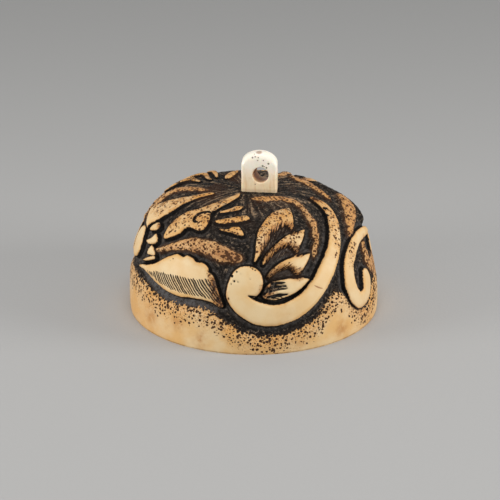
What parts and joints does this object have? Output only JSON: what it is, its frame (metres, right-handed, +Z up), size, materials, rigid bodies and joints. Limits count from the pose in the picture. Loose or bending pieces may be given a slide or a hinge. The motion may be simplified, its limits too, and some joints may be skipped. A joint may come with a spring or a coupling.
{
  "type": "netsuke",
  "caption": "Carved netsuke: a low dome of stained antler with scrolls, petals and a leaf in relief, and a pale loop for a cord let into its crown.",
  "frame": {"origin": "centre of the flat underside, at the foot", "axes": "+Z up through the dome and its loop; the side with the large scroll and the leaf faces -Y"},
  "size_m": [0.038, 0.038, 0.0251],
  "materials": {
    "stained_antler": "satin",
    "pale_bone": "satin"
  },
  "bodies": {
    "root": {"carved_dome": "stained_antler", "cord_loop": "pale_bone"}
  },
  "joints": []
}
